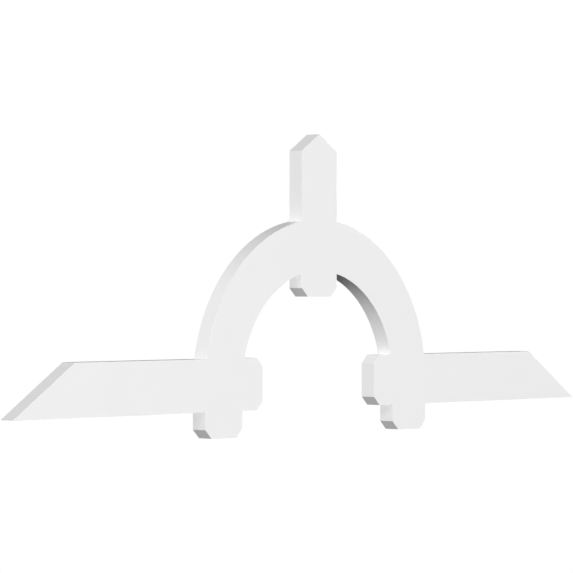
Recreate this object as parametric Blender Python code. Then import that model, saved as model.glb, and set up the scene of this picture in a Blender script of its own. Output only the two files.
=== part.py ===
"""Gable bracket: a decorative bracket for the peak of a gable, cut in one piece from white cellular PVC.

Two beams, a round arch with leg tails, and a king post lie flush in one plane. The beams' outer ends and
the post's head are cut along the roof. The bracket stands upright in the XZ plane and faces -Y. Its back
face lies at y = 0, and the origin is where the post crosses the crown of the arch.
"""

import math

import bmesh
import bpy
from mathutils import Vector

# Driving sizes, in metres
SPAN = 2.4384  # 96 in, from roof edge to roof edge along the beams' bottom
ROOF_PITCH = 8 / 12  # rise over run
THICKNESS = 0.0508  # 2 in
BEAM_HEIGHT = 0.1524  # 6 in
POST_WIDTH = 0.1524  # 6 in
ARCH_INNER_RADIUS = 0.3302  # 13 in
ARCH_WIDTH = 0.1524  # 6 in
LEG_TAIL = 0.0762  # 3 in, from the beams' bottom down to the end of each leg
POST_TAIL = 0.0762  # 3 in, from the arch's inner crown down to the post's end
BEAM_STUB = 0.0762  # 3 in, from the arch's inner edge in to each beam's end
CORNER_CUT = 0.0254  # 1 in, along each side of a 45 degree corner cut
ARCH_STEPS = 96  # facets in half a circle

ARCH_OUTER_RADIUS = ARCH_INNER_RADIUS + ARCH_WIDTH
ARCH_CENTRE = Vector((0, 0, -(ARCH_INNER_RADIUS + ARCH_WIDTH / 2)))
BEAM_TOP = ARCH_CENTRE.z + BEAM_HEIGHT / 2
BEAM_BOTTOM = ARCH_CENTRE.z - BEAM_HEIGHT / 2
PEAK = BEAM_BOTTOM + SPAN / 2 * ROOF_PITCH
LEG_END = BEAM_BOTTOM - LEG_TAIL
POST_END = ARCH_CENTRE.z + ARCH_INNER_RADIUS - POST_TAIL


def beyond(radius, offset):
    """How far a circle of this radius reaches at an offset from its centre."""
    return math.sqrt(radius**2 - offset**2)


def cut_corner(before, corner, after):
    """The two ends of a 45 degree cut across a square corner."""
    return [corner + CORNER_CUT * (side - corner).normalized() for side in (before, after)]


def arch_arc(radius, start, end):
    """Points round the arch's centre from start to end, angles in radians from the crown."""
    steps = math.ceil(abs(end - start) / math.pi * ARCH_STEPS)
    turns = [start + (end - start) * step / steps for step in range(steps + 1)]
    return [ARCH_CENTRE + radius * Vector((math.sin(turn), 0, math.cos(turn))) for turn in turns]


def post_head():
    """From the peak down the roof slope to the post's shoulder."""
    half = POST_WIDTH / 2
    return [Vector((0, 0, PEAK)), Vector((half, 0, PEAK - half * ROOF_PITCH))]


def arch_back():
    """The arch's outer edge, from the post's side to the beam's top."""
    post_side = math.asin(POST_WIDTH / 2 / ARCH_OUTER_RADIUS)
    beam_top = math.acos(BEAM_HEIGHT / 2 / ARCH_OUTER_RADIUS)
    return arch_arc(ARCH_OUTER_RADIUS, post_side, beam_top)


def beam_end():
    """The beam's outer end, cut along the roof."""
    return [
        Vector((SPAN / 2 - BEAM_HEIGHT / ROOF_PITCH, 0, BEAM_TOP)),
        Vector((SPAN / 2, 0, BEAM_BOTTOM)),
    ]


def leg_tail():
    """The leg below the beam, from its outer side round its end to its inner side."""
    top_outer, end_outer, end_inner, top_inner = (
        Vector((x, 0, z))
        for x, z in (
            (ARCH_OUTER_RADIUS, BEAM_BOTTOM),
            (ARCH_OUTER_RADIUS, LEG_END),
            (ARCH_INNER_RADIUS, LEG_END),
            (ARCH_INNER_RADIUS, BEAM_BOTTOM),
        )
    )
    return [
        top_outer,
        *cut_corner(top_outer, end_outer, end_inner),
        *cut_corner(end_outer, end_inner, top_inner),
        top_inner,
    ]


def beam_stub():
    """The beam's inner end, from its bottom round to its top at the arch's inner edge."""
    root = beyond(ARCH_INNER_RADIUS, BEAM_HEIGHT / 2)
    end = root - BEAM_STUB
    bottom, end_bottom, end_top, top = (
        Vector((x, 0, z))
        for x, z in ((root, BEAM_BOTTOM), (end, BEAM_BOTTOM), (end, BEAM_TOP), (root, BEAM_TOP))
    )
    return [
        *cut_corner(bottom, end_bottom, end_top),
        *cut_corner(end_bottom, end_top, top),
    ]


def arch_inside():
    """The arch's inner edge, from the beam's top to the post's side."""
    beam_top = math.acos(BEAM_HEIGHT / 2 / ARCH_INNER_RADIUS)
    post_side = math.asin(POST_WIDTH / 2 / ARCH_INNER_RADIUS)
    return arch_arc(ARCH_INNER_RADIUS, beam_top, post_side)


def post_tail():
    """Half of the post's lower end."""
    half = POST_WIDTH / 2
    root = Vector((half, 0, ARCH_CENTRE.z + beyond(ARCH_INNER_RADIUS, half)))
    return cut_corner(root, Vector((half, 0, POST_END)), Vector((0, 0, POST_END)))


def outline():
    """The whole edge, clockwise seen from the front: the right half, then its mirror image back up."""
    right = [
        *post_head(),
        *arch_back(),
        *beam_end(),
        *leg_tail(),
        *beam_stub(),
        *arch_inside(),
        *post_tail(),
    ]
    left = [Vector((-point.x, 0, point.z)) for point in reversed(right[1:])]
    return right + left


def cellular_pvc():
    """Plain white sheet with a low sheen."""
    material = bpy.data.materials.new("cellular_pvc")
    material.use_nodes = True
    shader = material.node_tree.nodes["Principled BSDF"]
    shader.inputs["Base Color"].default_value = (0.84, 0.84, 0.84, 1)
    shader.inputs["Roughness"].default_value = 0.45
    shader.inputs["Metallic"].default_value = 0
    return material


def gable_bracket():
    """The outline as one face at the back, pulled forward through the sheet's thickness."""
    shape = bmesh.new()
    back = shape.faces.new([shape.verts.new(point) for point in outline()])
    pulled = bmesh.ops.extrude_face_region(shape, geom=[back], use_keep_orig=True)
    front = [item for item in pulled["geom"] if isinstance(item, bmesh.types.BMVert)]
    bmesh.ops.translate(shape, verts=front, vec=(0, -THICKNESS, 0))
    bmesh.ops.recalc_face_normals(shape, faces=shape.faces)
    mesh = bpy.data.meshes.new("gable_bracket")
    shape.to_mesh(mesh)
    shape.free()
    mesh.shade_smooth()
    mesh.set_sharp_from_angle(angle=math.radians(20))
    mesh.materials.append(cellular_pvc())
    bracket = bpy.data.objects.new("gable_bracket", mesh)
    bpy.context.scene.collection.objects.link(bracket)
    return bracket


def main():
    for old in list(bpy.data.objects):
        bpy.data.objects.remove(old, do_unlink=True)
    gable_bracket()


main()
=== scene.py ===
"""The look of the gable bracket: one bracket cut from white cellular PVC sheet, and a white studio round it.

Run it as a script. The bracket stands in the XZ plane, faces -Y and is fixed by its back face at y = 0.
"""

import math

import bmesh
import bpy
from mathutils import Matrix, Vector


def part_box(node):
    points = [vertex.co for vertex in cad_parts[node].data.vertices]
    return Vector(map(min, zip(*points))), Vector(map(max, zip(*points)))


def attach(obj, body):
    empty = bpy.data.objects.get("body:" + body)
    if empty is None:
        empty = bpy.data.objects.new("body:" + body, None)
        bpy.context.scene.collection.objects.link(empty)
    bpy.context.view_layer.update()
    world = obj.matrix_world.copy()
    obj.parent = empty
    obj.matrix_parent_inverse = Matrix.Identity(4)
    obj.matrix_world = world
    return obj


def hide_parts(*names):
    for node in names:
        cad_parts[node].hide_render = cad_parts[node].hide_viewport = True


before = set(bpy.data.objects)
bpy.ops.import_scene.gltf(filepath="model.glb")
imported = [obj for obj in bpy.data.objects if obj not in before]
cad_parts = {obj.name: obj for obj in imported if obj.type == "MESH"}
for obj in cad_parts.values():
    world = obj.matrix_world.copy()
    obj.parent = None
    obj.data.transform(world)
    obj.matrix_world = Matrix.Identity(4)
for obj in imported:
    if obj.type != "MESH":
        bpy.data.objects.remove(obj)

bl_info = {
    "name": "Gable Bracket",
    "version": (1, 0, 0),
    "blender": (4, 5, 0),
    "location": "View3D > Sidebar > Gable Bracket",
    "description": "Cuts a gable bracket from cellular PVC sheet and sets a white studio round it",
    "category": "Object",
}

MM = 0.001
CAD_NODE = "gable_bracket"
CAD_LOW, CAD_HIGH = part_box(CAD_NODE)
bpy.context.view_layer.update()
SAME_PLACE = 0.01 * MM  # points closer than this are one point
SANDED_FROM = math.radians(20)  # an outer edge that turns more than this gets an arris
SHARP_FROM = math.radians(35)  # an edge that turns more than this isn't shaded smooth
FLOOR_RADIUS = 60
PANEL_DISTANCE = 10  # a panel's light is even, so only its direction counts
CAMERA_REACH = 200
PAPER_GLOW = 1.01  # just past white, so that the paper comes out white
FRONT_LAMP_RADII = 12  # how many of its own radii away the front lamp stands

# Each light: name, where it stands round the bracket and above it in degrees, strength, softness as the
# angle that it fills, and whether it casts a shadow. Azimuth 0 is in front, -90 is off the bracket's left
# end. Only some cast one, so that the members shade each other as softly as in a white room.
STUDIO_LIGHTS = (
    ("left_bounce", -67.5, 25, 0.93, 10, False),
    ("left_panel", -67.5, 25, 0.55, 25, True),
    ("left_low_panel", -67.5, -10, 0.22, 25, True),
    ("right_panel", 90, 0, 1.88, 30, True),
    ("back_bounce", 180, 0, 1.26, 10, False),
    ("back_low_bounce", 180, -30, 0.41, 10, False),
    ("back_high_bounce", 180, 30, 0.36, 10, False),
)


def length(name, description, default):
    """A size in metres that shows in the scene's own units."""
    return bpy.props.FloatProperty(
        name=name, description=description, default=default, min=0, precision=4, unit="LENGTH"
    )


def angle(name, description, default):
    """An angle given in degrees."""
    return bpy.props.FloatProperty(
        name=name, description=description, default=math.radians(default), subtype="ANGLE"
    )


def linear(hex_colour):
    """An sRGB colour such as "#EEEEEE" as linear red, green and blue."""
    shares = (int(hex_colour[start : start + 2], 16) / 255 for start in (1, 3, 5))
    return tuple(
        share / 12.92 if share <= 0.04045 else ((share + 0.055) / 1.055) ** 2.4 for share in shares
    )


def colour(name, description, hex_colour):
    """A colour that a user can pick, given as sRGB hex."""
    return bpy.props.FloatVectorProperty(
        name=name, description=description, default=linear(hex_colour), subtype="COLOR", min=0, max=1
    )


class GableBracketSizes(bpy.types.PropertyGroup):
    """The bracket's own sizes. What the frame can give comes from the frame."""

    span: length("Span", "Along the beams' bottom, from roof edge to roof edge", CAD_HIGH.x - CAD_LOW.x)
    thickness: length("Thickness", "Of the sheet, from front to back", CAD_HIGH.y - CAD_LOW.y)
    roof_rise: length("Roof rise", "How far the roof climbs over the roof run", 8 * 0.0254)
    roof_run: length("Roof run", "Level distance over which the roof climbs the roof rise", 12 * 0.0254)
    beam_height: length("Beam height", "Height of both beams", 0.1524)
    post_width: length("Post width", "Width of the king post", 0.1524)
    arch_width: length("Arch width", "Width of the arch's ring and legs", 0.1524)
    arch_inner_radius: length("Arch inner radius", "Radius of the arch's inside", 0.3302)
    leg_tail: length("Leg tail", "From the beams' bottom to the end of each leg", 0.0762)
    post_tail: length("Post tail", "From the arch's inner crown to the post's end", 0.0762)
    beam_stub: length("Beam stub", "From the arch's inside to each beam's end", 0.0762)
    corner_cut: length("Corner cut", "Along each side of a 45 degree corner cut", 0.0254)
    arris: length("Arris", "Width of the rub of sandpaper along every sharp edge", 0.2 * MM)
    arc_steps: bpy.props.IntProperty(
        name="Arc steps", description="Flats in half a circle", default=240, min=12
    )


class GableBracketFinish(bpy.types.PropertyGroup):
    """Colours of the sheet's skin and of its routed edges."""

    skin: colour("Skin", "The sheet's smooth front and back", "#EEEEEE")
    routed: colour("Routed edge", "Where the cutter opened the foam's cells", "#ECECEC")


class GableBracketStudio(bpy.types.PropertyGroup):
    """Where the camera and the front lamp stand, and the floor and the backdrop."""

    azimuth: angle("Camera azimuth", "Round the bracket from straight in front", -46.89)
    tilt: angle("Camera tilt", "Upwards from level", -0.042)
    distance: length("Camera distance", "From the point that the camera looks at", 9.195)
    aim_left: length("Aim left", "From the post's middle to the point looked at", 0.1433)
    aim_down: length("Aim down", "From the arch's crown to the point looked at", 0.1157)
    focal_length: bpy.props.FloatProperty(
        name="Focal length", description="Of the camera's lens", default=196.64, unit="CAMERA"
    )
    lamp_azimuth: angle("Front lamp azimuth", "Round the bracket from straight in front", -30)
    lamp_elevation: angle("Front lamp elevation", "Above level", 10)
    lamp_distance: length("Front lamp distance", "From the arch's crown", 48)
    lamp_strength: bpy.props.FloatProperty(
        name="Front lamp strength", description="What reaches the bracket", default=3.01, min=0
    )
    floor_drop: length("Floor drop", "From the bracket's lowest point to the floor", 16)
    paper: colour("Paper", "Floor and backdrop", "#FFFFFF")


def add_node(tree, kind, settings=None, values=None, links=None):
    """Adds a shader node with its settings, its own socket values, and its inputs' links."""
    node = tree.nodes.new(kind)
    for name, setting in (settings or {}).items():
        setattr(node, name, setting)
    for name, value in (values or {}).items():
        node.inputs[name].default_value = value
    for name, source in (links or {}).items():
        tree.links.new(source, node.inputs[name])
    return node


def new_shader(name):
    """An empty material and its node tree."""
    material = bpy.data.materials.new(name)
    material.use_nodes = True
    material.node_tree.nodes.clear()
    return material, material.node_tree


def tinted(tree, base, amount, pattern):
    """The base colour, darker by up to this amount where the pattern is 0."""
    low = [channel * (1 - amount) for channel in base]
    return add_node(
        tree,
        "ShaderNodeMix",
        {"data_type": "RGBA"},
        {"A": (*low, 1), "B": (*base, 1)},
        {"Factor": pattern},
    ).outputs["Result"]


def spread(tree, pattern, low, high):
    """The pattern's 0 to 1 stretched to run from low to high."""
    return add_node(
        tree, "ShaderNodeMapRange", None, {"To Min": low, "To Max": high}, {"Value": pattern}
    ).outputs["Result"]


def noise(tree, coordinates, size, detail=2.0):
    """A soft random pattern whose patches are about this many metres wide."""
    return add_node(
        tree, "ShaderNodeTexNoise", None, {"Scale": 1 / size, "Detail": detail}, {"Vector": coordinates}
    ).outputs["Fac"]


def finish_shader(tree, base, roughness, height, relief):
    """A Principled shader of foamed PVC with bumps of this height in metres."""
    bump = add_node(tree, "ShaderNodeBump", None, {"Distance": relief}, {"Height": height})
    shader = add_node(
        tree,
        "ShaderNodeBsdfPrincipled",
        None,
        {"IOR": 1.5, "Metallic": 0},
        {"Base Color": base, "Roughness": roughness, "Normal": bump.outputs["Normal"]},
    )
    add_node(tree, "ShaderNodeOutputMaterial", None, None, {"Surface": shader.outputs["BSDF"]})


def pvc_sheet_skin(finish):
    """Cellular PVC sheet as it leaves the calender: an even white skin with a satin sheen.

    To the eye it is flat and clean. Its sheen drifts in hand-wide patches, and a low orange peel breaks up
    its highlights. The real peel is about 1 mm across, and is drawn at 9 mm, or 3 pixels of the photograph's
    frame, so that it can be told there at all.
    """
    material, tree = new_shader("pvc_sheet_skin")
    place = add_node(tree, "ShaderNodeTexCoord").outputs["Object"]
    patches = noise(tree, place, 90 * MM)
    peel = noise(tree, place, 9 * MM)
    base = tinted(tree, finish.skin, 0.012, patches)
    finish_shader(tree, base, spread(tree, patches, 0.36, 0.44), peel, 0.2 * MM)
    return material


def pvc_routed_edge(finish):
    """Cellular PVC where a router cut it: opened foam, duller than the skin, with the cutter's flutes.

    The flutes run straight through the sheet, so their pattern doesn't change along Y. The real ones are
    about 2 mm apart and the foam's cells about 0.2 mm across. They are drawn at 8 mm and 4 mm, so that the
    edges look faintly combed from a step away.
    """
    material, tree = new_shader("pvc_routed_edge")
    place = add_node(tree, "ShaderNodeTexCoord").outputs["Object"]
    through = add_node(tree, "ShaderNodeMapping", None, {"Scale": (1, 0, 1)}, {"Vector": place})
    flutes = noise(tree, through.outputs["Vector"], 8 * MM, 1.0)
    cells = noise(tree, place, 4 * MM)
    height = add_node(
        tree, "ShaderNodeMix", None, {"Factor": 0.4}, {"A": flutes, "B": cells}
    ).outputs["Result"]
    base = tinted(tree, finish.routed, 0.02, cells)
    finish_shader(tree, base, spread(tree, flutes, 0.42, 0.5), height, 0.4 * MM)
    return material


class Outline:
    """A pen that draws the bracket's right half as a chain of edges on the front face."""

    def __init__(self, shape, front, x, z):
        self.shape = shape
        self.front = front
        self.pen = shape.verts.new((x, front, z))
        self.square_corners = []

    def line(self, x, z, cut=False):
        """A straight edge to a point. A cut corner is noted, to be cut off once the face is filled."""
        drawn = bmesh.ops.extrude_vert_indiv(self.shape, verts=[self.pen])
        self.pen = drawn["verts"][0]
        self.pen.co = (x, self.front, z)
        if cut:
            self.square_corners.append(self.pen)

    def arc(self, centre_z, turn, steps):
        """A round edge about the arch's centre. A positive turn runs from the crown to the right."""
        swept = bmesh.ops.spin(
            self.shape,
            geom=[self.pen],
            cent=(0, self.front, centre_z),
            axis=(0, 1, 0),
            angle=turn,
            steps=steps,
        )
        self.pen = next(item for item in swept["geom_last"] if isinstance(item, bmesh.types.BMVert))


def draw_half(shape, sizes):
    """The right half of the outline, from the peak round to the middle of the post's end."""
    half_post = sizes.post_width / 2
    pitch = sizes.roof_rise / sizes.roof_run
    inner = sizes.arch_inner_radius
    outer = inner + sizes.arch_width
    centre = -(inner + sizes.arch_width / 2)
    beam_top = centre + sizes.beam_height / 2
    beam_bottom = centre - sizes.beam_height / 2
    peak = beam_bottom + sizes.span / 2 * pitch
    leg_end = beam_bottom - sizes.leg_tail
    post_end = centre + inner - sizes.post_tail

    def sweep(radius):
        """From the post's side to the beam's top, on a circle of this radius."""
        return math.acos(sizes.beam_height / 2 / radius) - math.asin(half_post / radius)

    def reach(radius, offset):
        """How far a circle of this radius reaches at an offset from its centre."""
        return math.sqrt(radius**2 - offset**2)

    def steps(turn):
        """How many flats this part of the circle gets."""
        return math.ceil(turn / math.pi * sizes.arc_steps)

    stub_root = reach(inner, sizes.beam_height / 2)
    outline = Outline(shape, -sizes.thickness, 0, peak)
    outline.line(half_post, peak - half_post * pitch)
    outline.line(half_post, centre + reach(outer, half_post))
    outline.arc(centre, sweep(outer), steps(sweep(outer)))
    outline.line(sizes.span / 2 - sizes.beam_height / pitch, beam_top)
    outline.line(sizes.span / 2, beam_bottom)
    outline.line(outer, beam_bottom)
    outline.line(outer, leg_end, cut=True)
    outline.line(inner, leg_end, cut=True)
    outline.line(inner, beam_bottom)
    outline.line(stub_root - sizes.beam_stub, beam_bottom, cut=True)
    outline.line(stub_root - sizes.beam_stub, beam_top, cut=True)
    outline.line(stub_root, beam_top)
    outline.arc(centre, -sweep(inner), steps(sweep(inner)))
    outline.line(half_post, post_end, cut=True)
    outline.line(0, post_end)
    return outline.square_corners


def cut_sheet(shape, sizes):
    """Both halves as one face, its square corners cut off, pulled back through the sheet."""
    corners = draw_half(shape, sizes)
    drawn = shape.verts[:] + shape.edges[:]
    mirrored = bmesh.ops.mirror(shape, geom=drawn, merge_dist=SAME_PLACE, axis="X")
    corners += [
        item
        for item in mirrored["geom"]
        if isinstance(item, bmesh.types.BMVert) and any(is_mirror(item, corner) for corner in corners)
    ]
    bmesh.ops.contextual_create(shape, geom=shape.edges[:])
    bmesh.ops.bevel(
        shape,
        geom=corners,
        offset=sizes.corner_cut,
        offset_type="OFFSET",
        segments=1,
        profile=0.5,
        affect="VERTICES",
        material=-1,
    )
    pulled = bmesh.ops.extrude_face_region(shape, geom=shape.faces[:], use_keep_orig=True)
    back = [item for item in pulled["geom"] if isinstance(item, bmesh.types.BMVert)]
    bmesh.ops.translate(shape, verts=back, vec=(0, sizes.thickness, 0))
    bmesh.ops.recalc_face_normals(shape, faces=shape.faces)


def is_mirror(one, other):
    """True if one point is the other's mirror image across the post's middle."""
    return (one.co - Vector((-other.co.x, other.co.y, other.co.z))).length < SAME_PLACE


def ease_edges(shape, sizes):
    """Breaks every outer edge as a rub of sandpaper does. Inner corners stay as the cutter left them."""
    sharp = [edge for edge in shape.edges if edge.calc_face_angle_signed() > SANDED_FROM]
    bmesh.ops.bevel(
        shape,
        geom=sharp,
        offset=sizes.arris,
        offset_type="OFFSET",
        segments=3,
        profile=0.5,
        affect="EDGES",
        clamp_overlap=True,
        material=-1,
    )


def settle_order(shape):
    """Rounds places to a micrometre and sorts by them, because a bevel's own order and last digits
    change from run to run."""
    for vert in shape.verts:
        vert.co = [round(value, 6) for value in vert.co]
    along = Vector((1, math.sqrt(2), math.sqrt(3)))  # no two points lie equally far along this
    shape.verts.sort(key=lambda vert: vert.co.dot(along))
    shape.edges.sort(key=lambda edge: (edge.verts[0].co + edge.verts[1].co).dot(along))
    shape.faces.sort(key=lambda face: face.calc_center_median().dot(along))


def new_piece(name, shape, materials):
    """A finished object from a bmesh, at the origin and riding with the frame's one body."""
    settle_order(shape)
    mesh = bpy.data.meshes.new(name)
    shape.to_mesh(mesh)
    shape.free()
    mesh.shade_smooth()
    mesh.set_sharp_from_angle(angle=SHARP_FROM)
    for material in materials:
        mesh.materials.append(material)
    piece = bpy.data.objects.new(name, mesh)
    bpy.context.scene.collection.objects.link(piece)
    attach(piece, "root")
    return piece


class GABLE_OT_cut_bracket(bpy.types.Operator):
    """Cuts the bracket from one sheet, eases its edges and gives it the finish of cellular PVC"""

    bl_idname = "gable.cut_bracket"
    bl_label = "Cut Bracket"

    def execute(self, context):
        sizes = context.scene.gable_bracket_sizes
        finish = context.scene.gable_bracket_finish
        shape = bmesh.new()
        cut_sheet(shape, sizes)
        for face in shape.faces:
            is_skin = abs(face.normal.y) > 0.5  # the sheet's own faces look along Y, and the rest were cut
            face.material_index = 0 if is_skin else 1
        ease_edges(shape, sizes)
        bracket = new_piece("pvc_bracket", shape, [pvc_sheet_skin(finish), pvc_routed_edge(finish)])
        flats = bracket.modifiers.new("flat_faces", "WEIGHTED_NORMAL")
        flats.mode = "FACE_AREA"
        flats.weight = 100
        flats.keep_sharp = True
        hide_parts(CAD_NODE)
        return {"FINISHED"}


def white_paper(studio):
    """Backlit white paper, which gives an even pale floor with no edge against the backdrop."""
    material, tree = new_shader("white_paper")
    glow = add_node(
        tree, "ShaderNodeEmission", None, {"Color": (*studio.paper, 1), "Strength": PAPER_GLOW}
    ).outputs["Emission"]
    add_node(tree, "ShaderNodeOutputMaterial", None, None, {"Surface": glow})
    return material


def lay_floor(studio):
    """A round white floor far below. It lights nothing, so the bracket's undersides stay dark."""
    shape = bmesh.new()
    bmesh.ops.create_circle(shape, cap_ends=True, segments=64, radius=FLOOR_RADIUS)
    bmesh.ops.translate(shape, verts=shape.verts, vec=(0, 0, CAD_LOW.z - studio.floor_drop))
    mesh = bpy.data.meshes.new("floor")
    shape.to_mesh(mesh)
    shape.free()
    mesh.materials.append(white_paper(studio))
    floor = bpy.data.objects.new("floor", mesh)
    floor.visible_diffuse = False
    floor.visible_glossy = False
    floor.visible_shadow = False
    bpy.context.scene.collection.objects.link(floor)


def hang_backdrop(studio):
    """A white backdrop all round that the camera sees, and that lights nothing."""
    world = bpy.data.worlds.new("white_backdrop")
    world.use_nodes = True
    backdrop = world.node_tree.nodes["Background"]
    backdrop.inputs["Color"].default_value = (*studio.paper, 1)
    backdrop.inputs["Strength"].default_value = PAPER_GLOW
    bpy.context.scene.world = world
    world.cycles_visibility.diffuse = False
    world.cycles_visibility.glossy = False


def towards(azimuth, elevation):
    """The direction from the bracket to something at this azimuth and elevation, in radians."""
    return Vector(
        (
            math.sin(azimuth) * math.cos(elevation),
            -math.cos(azimuth) * math.cos(elevation),
            math.sin(elevation),
        )
    )


def hang_light(name, kind, azimuth, elevation, distance):
    """A light at this azimuth and elevation, in radians, that shines on the bracket."""
    data = bpy.data.lights.new(name, kind)
    lamp = bpy.data.objects.new(name, data)
    direction = towards(azimuth, elevation)
    lamp.location = distance * direction
    lamp.rotation_euler = direction.to_track_quat("Z", "Y").to_euler()
    bpy.context.scene.collection.objects.link(lamp)
    return data


def hang_lights(studio):
    """A far lamp in front, so its light fades a little along the span, and even panels all round."""
    front = hang_light(
        "front_lamp", "POINT", studio.lamp_azimuth, studio.lamp_elevation, studio.lamp_distance
    )
    front.energy = studio.lamp_strength * 4 * math.pi * studio.lamp_distance**2
    front.shadow_soft_size = studio.lamp_distance / FRONT_LAMP_RADII
    front.use_shadow = False
    for name, azimuth, elevation, strength, softness, shadow in STUDIO_LIGHTS:
        panel = hang_light(name, "SUN", math.radians(azimuth), math.radians(elevation), PANEL_DISTANCE)
        panel.energy = strength
        panel.angle = math.radians(softness)
        panel.use_shadow = shadow


def set_camera(studio):
    """A long lens, almost level, off the bracket's left front."""
    data = bpy.data.cameras.new("camera")
    data.lens = studio.focal_length
    data.clip_end = CAMERA_REACH
    camera = bpy.data.objects.new("camera", data)
    aim = Vector((-studio.aim_left, CAD_LOW.y, -studio.aim_down))
    camera.location = aim + studio.distance * towards(studio.azimuth, 0)
    camera.rotation_euler = (math.pi / 2 + studio.tilt, 0, studio.azimuth)
    bpy.context.scene.collection.objects.link(camera)
    bpy.context.scene.camera = camera


class GABLE_OT_set_stage(bpy.types.Operator):
    """Lays the floor, hangs the backdrop and the lights, and sets the camera"""

    bl_idname = "gable.set_stage"
    bl_label = "Set Stage"

    def execute(self, context):
        studio = context.scene.gable_bracket_studio
        lay_floor(studio)
        hang_backdrop(studio)
        hang_lights(studio)
        set_camera(studio)
        context.scene.view_settings.view_transform = "Standard"
        return {"FINISHED"}


class GABLE_PT_bracket(bpy.types.Panel):
    """The bracket's sizes, finish and stage"""

    bl_idname = "GABLE_PT_bracket"
    bl_label = "Gable Bracket"
    bl_space_type = "VIEW_3D"
    bl_region_type = "UI"
    bl_category = "Gable Bracket"

    def draw(self, context):
        scene = context.scene
        for title, group, operator in (
            ("Sizes", scene.gable_bracket_sizes, None),
            ("Finish", scene.gable_bracket_finish, GABLE_OT_cut_bracket),
            ("Studio", scene.gable_bracket_studio, GABLE_OT_set_stage),
        ):
            box = self.layout.box()
            box.label(text=title)
            for name in group.__annotations__:
                box.prop(group, name)
            if operator:
                box.operator(operator.bl_idname)


GROUPS = {
    "gable_bracket_sizes": GableBracketSizes,
    "gable_bracket_finish": GableBracketFinish,
    "gable_bracket_studio": GableBracketStudio,
}
CLASSES = (*GROUPS.values(), GABLE_OT_cut_bracket, GABLE_OT_set_stage, GABLE_PT_bracket)


def register():
    for each in CLASSES:
        bpy.utils.register_class(each)
    for name, group in GROUPS.items():
        setattr(bpy.types.Scene, name, bpy.props.PointerProperty(type=group))


def unregister():
    for name in GROUPS:
        delattr(bpy.types.Scene, name)
    for each in reversed(CLASSES):
        bpy.utils.unregister_class(each)


def main():
    register()
    bpy.ops.gable.cut_bracket()
    bpy.ops.gable.set_stage()


if __name__ == "__main__":
    main()
